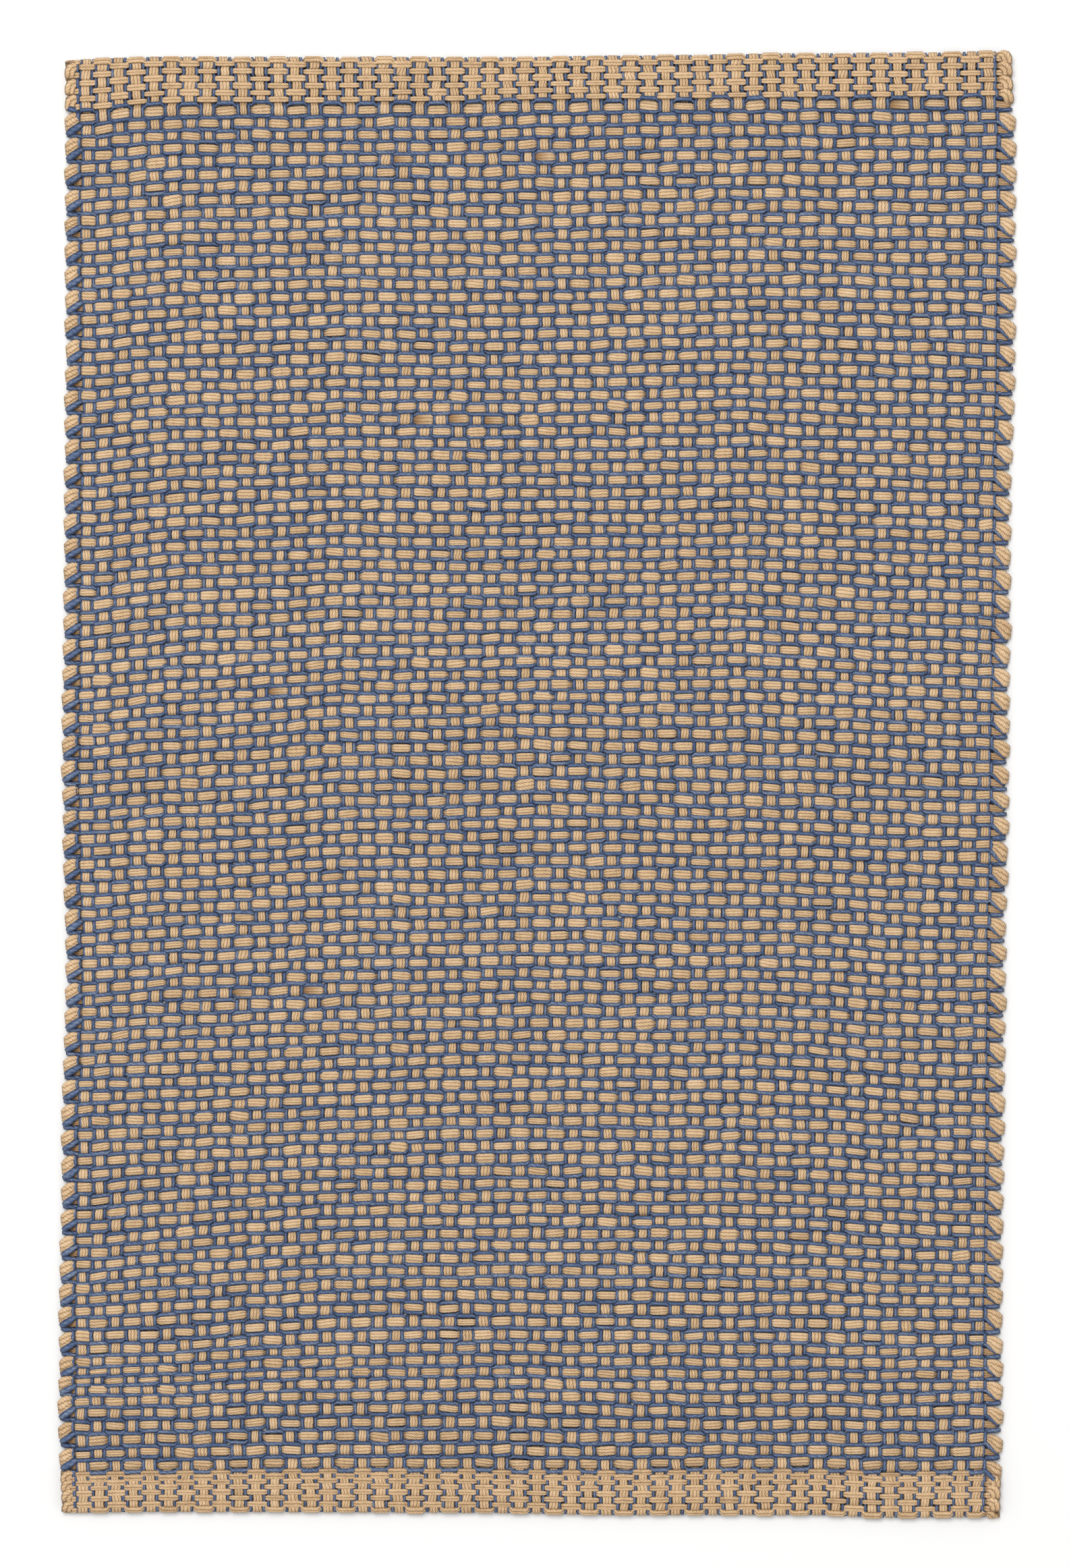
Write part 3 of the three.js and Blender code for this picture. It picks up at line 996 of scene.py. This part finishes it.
def weft_path(rows, position, seed):
    """Path of one yarn of each of these rows, all even or all odd. position is 0 for the natural band,
    1 for the blue yarn above it and -1 for the one below."""
    rows = np.asarray(rows)
    last = sizes().warp_groups
    last_row = sizes().weft_rows - 1
    turns_left = rows[0] % 2 == 0
    over_places = BLUE_OVER_PLACES if position else WEFT_OVER_PLACES
    under_places = BLUE_UNDER_PLACES if position else WEFT_UNDER_PLACES
    ends = weft_ends(turns_left, position)
    stations = crosswise_stations(rows[0], over_places, under_places, ends)
    places, column, side, is_over, middle, left, right = stations
    n = len(ends[0])
    inner = (column > 0) & (column <= last)
    shape = (sizes().weft_rows, last + 2)
    drawn = draws(WEFT_SPREADS, WEFT_SEED, shape, rows, column)
    pull, swell, lift, slide, lean, grip, shove, tilt = drawn
    own, own_pull = draws(OWN_WEFT_SPREADS, seed, shape, rows, column)
    pull = pull + tilt * side[None]
    own = 1.0 + own
    grip = 1.0 + grip

    # a float is full until near its end, and pinched where it dives; the blue yarns close in there
    full = np.where((rows == 0) | (rows == last_row), END_ROW, 1.0)[:, None]
    band = 0.5 * sizes().weft_band / MM * (1.0 + swell) * full
    blue = 0.5 * sizes().blue_weft / MM * along_float(BLUE_WEFT_WIDTH, is_over, middle)[None]
    beside = band * along_float(BLUE_WEFT_PLACE, is_over, middle)[None]
    shift = position * (beside + blue * BLUE_CLEAR)
    band = band * along_float(WEFT_WIDTH, is_over, middle)[None]
    # the first row's upper yarn and the last row's lower one arch into the hems
    meets_hem = (rows == 0) * (position > 0) + (rows == last_row) * (position < 0)
    shift = shift + HEM_ARCH * position * meets_hem[:, None] * middle[None]
    risen = along_float(BLUE_WEFT_RISE if position else WEFT_RISE, is_over, middle)
    rise = risen[None] * crimp_mm() + lift
    half = (band if position == 0 else blue) * own
    turn = np.zeros(shift.shape)
    across = np.zeros(shift.shape)
    across[:, inner] = places[None] + slide[:, inner]
    for block, end, source in ((slice(0, n), left, ends[0]), (slice(-n, None), right, ends[1])):
        # the tuck is written for the upper blue yarn, and mirrored for the lower one
        mirror = position if source is BLUE_TUCK else 1
        inward = end["inward"][None] + shove[:, block]
        across[:, block] = inward if end is left else width_mm() - inward
        shift[:, block] = end["shift"][None] * mirror * grip[:, block]
        rise[:, block] = end["rise"][None]
        half[:, block] = end["half_width"][None] * grip[:, block] * (own[:, block] if position else 1.0)
        turn[:, block] = end["turn"][None]
    down = row_down(rows)[:, None] - shift - pull * inner - own_pull * inner
    x, y = place_on_rug(across, down)
    height = np.where(meets_hem[:, None], body_height(down), body_height(row_down(rows))[:, None])
    centre = np.stack([x, y, height + rise], axis=2)
    facing = np.zeros(centre.shape) + (0.0, 0.0, 1.0)
    outward_sign = np.where(np.arange(len(column)) < n, -1.0, 1.0)[None] + np.zeros(turn.shape)
    half_height = NATURAL_HALF_HEIGHT * np.where(middle, 1.0, SHOULDER)[None] if position == 0 else blue
    # the short tucked ends are browned a little, as painted shade
    knot_and_tuck_shade = np.zeros(turn.shape)
    if position == 0:
        tucked = slice(-n, None) if turns_left else slice(0, n)
        knot_and_tuck_shade[:, tucked] = TUCK_PAINTED_SHADE
    for index, row in enumerate(rows):
        for group in BROWN_KNOTS.get(int(row), ()) if position == 0 else ():
            knot_and_tuck_shade[index] = np.maximum(knot_and_tuck_shade[index], (column == group) & (side < KNOT_END))
    return {
        "centre": centre,
        "rise": rise,
        "side": turned_sides(facing, turn, outward_sign),
        "half_width": half,
        "half_height": half_height * own,
        "skew": lean * side[None] * (position == 0),
        "tone": yarn_tone(seed + TONE_STEP, rows, column),
        "knot_and_tuck_shade": knot_and_tuck_shade,
    }


class RUG_OT_weft(bpy.types.Operator):
    """Lay the crosswise rows: a natural band between two blue yarns, turned round the selvedges"""

    bl_idname = "rug.weft"
    bl_label = "Weft"

    def execute(self, context):
        rows = np.arange(sizes().weft_rows)
        halves = (rows[::2], rows[1::2])
        path = merged([weft_path(half, 0, NATURAL_WEFT_SEED) for half in halves])
        weave_piece("weft_natural", WIDE_BAND, path, natural_jute())
        for position, name in ((1, "upper"), (-1, "lower")):
            path = merged([weft_path(half, position, BLUE_WEFT_SEED[position]) for half in halves])
            weave_piece(f"weft_blue_{name}", BLUE_YARN, path, blue_jute())
        return {"FINISHED"}


# Hem picks

def pick_path(pick, end):
    """Path of one fine two-strand pick of a hem; end is 1 at the top and -1 at the bottom."""
    last = sizes().warp_groups
    crossing = -1 - pick if end > 0 else sizes().weft_rows + pick
    ends = (PICK_BUTTON, PICK_TUCK) if crossing % 2 == 0 else (PICK_TUCK, PICK_BUTTON)
    stations = crosswise_stations(crossing, PICK_OVER_PLACES, PICK_UNDER_PLACES, ends)
    places, column, _, is_over, middle, left, right = stations
    n = len(ends[0])
    seed = PICK_SEED[end] + 2 * pick
    pull = uneven(seed, last + 2, PICK_PULL_SPREAD)[column]
    swell = 1.0 + uneven(seed + 1, last + 2, PICK_SWELL_SPREAD)[column]
    thick = FOLD_PICK_THICKNESS if pick == FOLD_PICK[end] else PICK_THICKNESS.get(pick, 1.0)
    half = 0.5 * sizes().pick / MM * along_float(PICK_WIDTH, is_over, middle) * swell * thick
    rise = along_float(PICK_RISE, is_over, middle) * HEM_CRIMP
    across = np.concatenate([left["inward"], places, width_mm() - right["inward"]])
    shift = np.concatenate([left["shift"], pull[n:-n], right["shift"]])
    rise = np.concatenate([left["rise"], rise[n:-n], right["rise"]])
    half = np.concatenate([left["half_width"], half[n:-n], right["half_width"]])
    turn = np.concatenate([left["turn"], np.zeros(len(places)), right["turn"]])
    outward = pick_outward(pick, end) + end * shift
    if pick == FOLD_PICK[end]:
        # at the fold a float lies on the face's edge, its ends drawn back towards the body
        drawn_back = FOLD_PICK_DRAW * (is_over & ~middle)
        outward = hem_mm() - FOLD_SKIN - 0.5 * fold_radius() - drawn_back + end * shift
    point, facing = place_on_hem(across, outward, end)
    outward_sign = np.where(np.arange(len(column)) < n, -1.0, 1.0)
    half_height = PICK_HALF_HEIGHT * np.where(middle, 1.0, PICK_SHOULDER)
    tall = 1.0 - THICKNESS_IN_HEIGHT + THICKNESS_IN_HEIGHT * thick
    return {
        "centre": (point + facing * rise[:, None])[None],
        "rise": rise[None],
        "side": turned_sides(facing, turn, outward_sign)[None],
        "half_width": half[None],
        "half_height": (half_height * tall)[None],
        "skew": np.zeros((1, len(column))),
        "tone": yarn_tone(seed + PICK_TONE_STEP, [pick], column) - DULLER_PICKS[end],
        "knot_and_tuck_shade": np.zeros((1, len(column))),
    }


class RUG_OT_hem_picks(bpy.types.Operator):
    """Lay the fine natural picks of both hems, on their faces, at their folds and underneath"""

    bl_idname = "rug.hem_picks"
    bl_label = "Hem picks"

    def execute(self, context):
        path = merged([pick_path(pick, end) for end in (1, -1) for pick in range(PICKS)])
        weave_piece("hem_picks", PICK_BAND, path, natural_jute())
        return {"FINISHED"}


# Loose fibres. Lengths are drawn from a gamma curve past the least one, and a hair bends and swings by
# these spreads of radians along its length.
HAIR_STATIONS = 5
HAIR_LENGTH = {"least": 2.0, "shape": 2.0, "scale": 2.6}
HAIR_BEND = 0.9
HAIR_SWING = 0.5
HAIR_RADIUS = {"least": 0.035, "most": 0.075}
HAIR_TAPER = {"root": 1.15, "loss": 0.6}
HAIR_ROOT_INSET = {"across": 6.0, "down": 4.0}
HAIR_INSET = 2.0
HAIR_HEIGHT = 0.7
HAIR_LIFT = 0.8
# hairs lie so far over the cloth's middle that no painted shade darkens them
UNSHADED_RISE = 2.0


class RUG_OT_stray_fibres(bpy.types.Operator):
    """Scatter the fine loose hairs that stand on the face of spun jute"""

    bl_idname = "rug.stray_fibres"
    bl_label = "Stray fibres"

    def execute(self, context):
        count = sizes().stray_fibres
        rng = np.random.RandomState(HAIR_SEED)
        length = rng.gamma(HAIR_LENGTH["shape"], HAIR_LENGTH["scale"], count) + HAIR_LENGTH["least"]
        along = np.linspace(0.0, 1.0, HAIR_STATIONS)[None]
        bend = rng.normal(0.0, HAIR_BEND, count)[:, None] * along
        swing = rng.normal(0.0, HAIR_SWING, count)[:, None] * np.sin(2 * math.pi * along)
        angle = rng.uniform(0.0, 2 * math.pi, count)[:, None] + bend + swing
        step = length[:, None] / (HAIR_STATIONS - 1)
        inset = HAIR_ROOT_INSET["across"]
        across = rng.uniform(inset, width_mm() - inset, count)[:, None]
        inset = HAIR_ROOT_INSET["down"]
        down = rng.uniform(inset, length_mm() - inset, count)[:, None]
        across = across + np.cumsum(np.cos(angle) * step, axis=1)
        down = down + np.cumsum(np.sin(angle) * step, axis=1)
        across = np.clip(across, HAIR_INSET, width_mm() - HAIR_INSET)
        down = np.clip(down, HAIR_INSET, length_mm() - HAIR_INSET)
        x, y = place_on_rug(across, down)
        top = body_height(down) + crimp_mm() + HAIR_HEIGHT
        lift = rng.uniform(0.0, HAIR_LIFT, count)[:, None] * np.sin(math.pi * along)
        centre = np.stack([x, y, top + lift], axis=2)
        heading = np.gradient(centre, axis=1)
        sideways = np.stack([-heading[..., 1], heading[..., 0], np.zeros(across.shape)], axis=2)
        radius = rng.uniform(HAIR_RADIUS["least"], HAIR_RADIUS["most"], count)[:, None]
        radius = radius * (HAIR_TAPER["root"] - HAIR_TAPER["loss"] * along)
        path = {
            "centre": centre,
            "rise": np.full(radius.shape, UNSHADED_RISE),
            "side": sideways + (1e-6, 0.0, 0.0),
            "half_width": radius,
            "half_height": radius,
            "skew": np.zeros(radius.shape),
            "tone": rng.uniform(-1.0, 1.0, count)[:, None] + np.zeros(radius.shape),
            "knot_and_tuck_shade": np.zeros(radius.shape),
        }
        weave_piece("stray_fibres", HAIR, path, loose_fibre())
        return {"FINISHED"}


# Materials

def linear(hex_colour):
    """An sRGB hex colour as linear red, green, blue and full opacity."""
    channels = [int(hex_colour[place : place + 2], 16) / 255 for place in (1, 3, 5)]
    return [c / 12.92 if c <= 0.04045 else ((c + 0.055) / 1.055) ** 2.4 for c in channels] + [1.0]


def add_node(tree, kind, settings=None, **links):
    """Adds a node, sets its properties and unlinked sockets, and links the sockets named in links;
    a link named i0 or i2 goes to the socket with that number."""
    node = tree.nodes.new(kind)
    for name, value in (settings or {}).items():
        if isinstance(name, int) or name in node.inputs:
            node.inputs[name].default_value = value
        else:
            setattr(node, name, value)
    for name, source in links.items():
        key = int(name[1:]) if name[0] == "i" and name[1:].isdigit() else name.replace("_", " ")
        tree.links.new(source, node.inputs[key])
    return node


def add_math(tree, operation, *values):
    """Adds a math node over sockets and numbers, and gives its result."""
    node = tree.nodes.new("ShaderNodeMath")
    node.operation = operation
    for place, value in enumerate(values):
        if isinstance(value, (int, float)):
            node.inputs[place].default_value = value
        else:
            tree.links.new(value, node.inputs[place])
    return node.outputs[0]


def new_material(name):
    material = bpy.data.materials.new(name)
    material.use_nodes = True
    material.node_tree.nodes.clear()
    return material


def crease(tree, place, start):
    """How deep in a crease a place is: 0 until start, and 1 at every whole number."""
    offset = add_math(tree, "ABSOLUTE", add_math(tree, "SUBTRACT", add_math(tree, "FRACT", place), 0.5))
    settings = {"From Min": start / 2, "From Max": 0.5, "interpolation_type": "SMOOTHSTEP"}
    return add_node(tree, "ShaderNodeMapRange", settings, Value=offset).outputs[0]


# Noise on a yarn, as waves to the millimetre along it and to the strand or ply round it
WAVER = {"along": 0.35, "round": 0.5, "detail": 1.0}
FIBRES = {"along": 0.6, "round": 4.0, "detail": 3.0}
FUZZ = {"along": 2.2, "round": 3.0, "detail": 3.0}
PATCHES = {"along": 0.14, "round": 0.5, "detail": 2.0}


def streaks(tree, along, across, noise):
    """Noise drawn out along the yarn."""
    place = add_node(
        tree,
        "ShaderNodeCombineXYZ",
        X=add_math(tree, "MULTIPLY", along, noise["along"]),
        Y=add_math(tree, "MULTIPLY", across, noise["round"]),
    )
    settings = {"Scale": 1.0, "Detail": noise["detail"], "Roughness": 0.65}
    return add_node(tree, "ShaderNodeTexNoise", settings, Vector=place.outputs[0]).outputs["Fac"]


def yarn_attribute(tree, name):
    settings = {"attribute_name": name, "attribute_type": "GEOMETRY"}
    return add_node(tree, "ShaderNodeAttribute", settings).outputs["Fac"]


MEAN_LIGHTNESS = 0.66
# How far the strands waver, how much further on each strand's plies start, how far they lean across
# it, and where the groove between two plies starts
STRAND_WAVER = 0.35
PLY_START_STEP = 0.37
PLY_LEAN = 1.2
PLY_GROOVE_START = 0.2


def yarn_material(name, shades, ply_mm, groove_start, strand_depth, twist_depth):
    """Spun jute: twisted plies of fibre, with painted shade between the plies and deeper painted shade
    between the strands.
    """
    material = new_material(name)
    tree = material.node_tree
    uv = add_node(tree, "ShaderNodeUVMap", {"uv_map": "yarn"})
    split = add_node(tree, "ShaderNodeSeparateXYZ", Vector=uv.outputs["UV"])
    along = add_math(tree, "DIVIDE", split.outputs["X"], TEXTURE_ALONG)
    strand = add_math(tree, "DIVIDE", split.outputs["Y"], TEXTURE_ROUND)
    waver = streaks(tree, along, strand, WAVER)
    strand = add_math(tree, "MULTIPLY_ADD", add_math(tree, "SUBTRACT", waver, 0.5), STRAND_WAVER, strand)

    # each strand's plies start at a place of their own
    own_start = add_math(tree, "MULTIPLY", add_math(tree, "FLOOR", strand), PLY_START_STEP)
    lean = add_math(tree, "MULTIPLY_ADD", add_math(tree, "FRACT", strand), PLY_LEAN, own_start)
    twist = add_math(tree, "MULTIPLY_ADD", along, 1.0 / ply_mm, lean)
    groove = crease(tree, strand, groove_start)
    ply = crease(tree, twist, PLY_GROOVE_START)
    fibre = streaks(tree, along, twist, FIBRES)
    fuzz = streaks(tree, along, strand, FUZZ)
    patches = streaks(tree, along, strand, PATCHES)
    tone, knot_and_tuck_shade, depth = [yarn_attribute(tree, name) for name in ("tone", "knot_and_tuck_shade", "depth")]

    lightness = MEAN_LIGHTNESS
    for noise, weight in ((fibre, 0.9), (fuzz, 0.8), (patches, 0.4)):
        lightness = add_math(tree, "MULTIPLY_ADD", add_math(tree, "SUBTRACT", noise, 0.5), weight, lightness)
    # tone is each yarn's own lightness; depth, groove and ply darken the colour as painted shade near the
    # cloth's middle and in the grooves
    darker = ((tone, 0.08), (depth, -0.5), (groove, -0.6 * strand_depth), (ply, -0.3 * twist_depth))
    for pattern, weight in darker:
        lightness = add_math(tree, "MULTIPLY_ADD", pattern, weight, lightness)
    # the ramp runs from the deep shade, painted shade in the grooves, to the light shade, a painted highlight
    # on the crests; fibre noise and tone move along it too
    ramp = add_node(tree, "ShaderNodeValToRGB", Fac=lightness)
    deep, mid, light = shades
    elements = ramp.color_ramp.elements
    elements[0].position = 0.1
    elements[0].color = linear(deep)
    elements[1].position = 1.0
    elements[1].color = linear(light)
    elements.new(0.55).color = linear(mid)
    # the knots' brown, which also stands as painted shade on the tucked ends
    stained_and_tuck_shaded = add_node(
        tree,
        "ShaderNodeMix",
        {"data_type": "RGBA", 7: linear(colours().knot_and_tuck_shade)},
        i0=add_math(tree, "MULTIPLY", knot_and_tuck_shade, 0.7),
        i6=ramp.outputs["Color"],
    )

    relief = add_math(tree, "MULTIPLY_ADD", fuzz, 0.5, add_math(tree, "MULTIPLY", fibre, 0.3))
    relief = add_math(tree, "MULTIPLY_ADD", groove, -strand_depth, relief)
    relief = add_math(tree, "MULTIPLY_ADD", ply, -0.5 * twist_depth, relief)
    bump = add_node(tree, "ShaderNodeBump", {"Strength": 0.8, "Distance": 0.0005}, Height=relief)
    settings = {
        "Roughness": 0.85,
        "Specular IOR Level": 0.25,
        "Sheen Weight": 0.1,
        "Sheen Roughness": 0.5,
    }
    shader = add_node(
        tree,
        "ShaderNodeBsdfPrincipled",
        settings,
        Base_Color=stained_and_tuck_shaded.outputs[2],
        Normal=bump.outputs["Normal"],
    )
    add_node(tree, "ShaderNodeOutputMaterial", Surface=shader.outputs[0])
    return material


def natural_jute():
    """Undyed jute, spun coarse: a warm straw colour with visible fibres and a slight lustre."""
    name = "undyed_spun_jute"
    c = colours()
    shades = (c.natural_deep, c.natural_mid, c.natural_light)
    spun = {"ply_mm": 2.1, "groove_start": 0.4, "strand_depth": 0.6, "twist_depth": 0.7}
    return bpy.data.materials.get(name) or yarn_material(name, shades, **spun)


def blue_jute():
    """Jute dyed mid blue: duller than the natural yarn, with painted shade towards its edges, and paler on
    its crests, partly where the dye is rubbed and partly as painted highlight.
    """
    name = "blue_dyed_jute"
    c = colours()
    shades = (c.blue_deep, c.blue_mid, c.blue_light)
    spun = {"ply_mm": 3.8, "groove_start": 0.2, "strand_depth": 0.5, "twist_depth": 0.4}
    return bpy.data.materials.get(name) or yarn_material(name, shades, **spun)


def loose_fibre():
    """A single raw jute fibre: pale, fine and slightly shiny."""
    material = new_material("loose_jute_fibre")
    tree = material.node_tree
    share = add_node(tree, "ShaderNodeMapRange", {"From Min": -1.0}, Value=yarn_attribute(tree, "tone"))
    ramp = add_node(tree, "ShaderNodeValToRGB", Fac=share.outputs[0])
    ramp.color_ramp.elements[0].color = linear(colours().fibre_dark)
    ramp.color_ramp.elements[1].color = linear(colours().fibre_pale)
    settings = {"Roughness": 0.6, "Specular IOR Level": 0.4}
    shader = add_node(tree, "ShaderNodeBsdfPrincipled", settings, Base_Color=ramp.outputs["Color"])
    add_node(tree, "ShaderNodeOutputMaterial", Surface=shader.outputs[0])
    return material


def floor_paint():
    """Matt white studio floor, with a trace of mottling so that it isn't flat."""
    material = new_material("matt_white_floor")
    tree = material.node_tree
    place = add_node(tree, "ShaderNodeTexCoord")
    settings = {"Scale": 1.5, "Detail": 2.0}
    cloud = add_node(tree, "ShaderNodeTexNoise", settings, Vector=place.outputs["Object"])
    ramp = add_node(tree, "ShaderNodeValToRGB", Fac=cloud.outputs["Fac"])
    ramp.color_ramp.elements[0].color = linear(colours().floor)
    ramp.color_ramp.elements[1].color = linear("#fdfdfc")
    matt = {"Roughness": 0.9}
    shader = add_node(tree, "ShaderNodeBsdfPrincipled", matt, Base_Color=ramp.outputs["Color"])
    add_node(tree, "ShaderNodeOutputMaterial", Surface=shader.outputs[0])
    return material


# Stage

FLOOR_SIZE_M = 12.0
SKY_STRENGTH = 0.6
KEY_PLACE_M = (-0.6, 1.2, 3.9)
KEY_SIZE_M = 2.0
KEY_WATTS = 96.5
CAMERA_PLACE_M = (-0.0017, 0.0006, 3.4)
FRAME_HEIGHT_M = 0.9826
SENSOR_MM = 36.0
VIEW_END_M = 50.0


class RUG_OT_stage(bpy.types.Operator):
    """Set the pale floor, the soft light and the camera straight above the rug"""

    bl_idname = "rug.stage"
    bl_label = "Stage"

    def execute(self, context):
        scene = context.scene
        scene.view_settings.view_transform = "Standard"
        deselect_all()
        bpy.ops.mesh.primitive_plane_add(size=FLOOR_SIZE_M, location=(0.0, 0.0, 0.0))
        floor = context.object
        floor.name = "floor"
        floor.data.materials.append(floor_paint())

        world = bpy.data.worlds.new("studio")
        scene.world = world
        world.use_nodes = True
        background = world.node_tree.nodes["Background"]
        background.inputs["Color"].default_value = (1.0, 1.0, 1.0, 1.0)
        background.inputs["Strength"].default_value = SKY_STRENGTH

        bpy.ops.object.light_add(type="AREA", location=KEY_PLACE_M)
        key = context.object
        key.name = "key_softbox"
        key.data.shape = "SQUARE"
        key.data.size = KEY_SIZE_M
        key.data.energy = KEY_WATTS
        key.rotation_euler = (-key.location.normalized()).to_track_quat("-Z", "Y").to_euler()

        bpy.ops.object.camera_add(location=CAMERA_PLACE_M, rotation=(0.0, 0.0, 0.0))
        camera = context.object
        camera.name = "camera"
        camera.data.sensor_width = SENSOR_MM
        camera.data.lens = SENSOR_MM * CAMERA_PLACE_M[2] / FRAME_HEIGHT_M
        camera.data.clip_end = VIEW_END_M
        scene.camera = camera
        return {"FINISHED"}


class RUG_PT_panel(bpy.types.Panel):
    """Lists the steps that lay the rug"""

    bl_label = "Jute rug"
    bl_idname = "RUG_PT_panel"
    bl_space_type = "VIEW_3D"
    bl_region_type = "UI"
    bl_category = "Rug"

    def draw(self, context):
        layout = self.layout
        for group in (context.scene.rug_sizes, context.scene.rug_colours):
            for name in group.__annotations__:
                layout.prop(group, name)
        for step in STEPS:
            layout.operator(step.bl_idname)


STEPS = (RUG_OT_stage, RUG_OT_warp, RUG_OT_weft, RUG_OT_hem_picks, RUG_OT_stray_fibres)
CLASSES = (RugSizes, RugColours, *STEPS, RUG_PT_panel)


def register():
    for item in CLASSES:
        bpy.utils.register_class(item)
    bpy.types.Scene.rug_sizes = bpy.props.PointerProperty(type=RugSizes)
    bpy.types.Scene.rug_colours = bpy.props.PointerProperty(type=RugColours)


def unregister():
    del bpy.types.Scene.rug_colours
    del bpy.types.Scene.rug_sizes
    for item in reversed(CLASSES):
        bpy.utils.unregister_class(item)


def main():
    register()
    bpy.ops.rug.stage()
    bpy.ops.rug.warp()
    bpy.ops.rug.weft()
    bpy.ops.rug.hem_picks()
    bpy.ops.rug.stray_fibres()


if __name__ == "__main__":
    main()
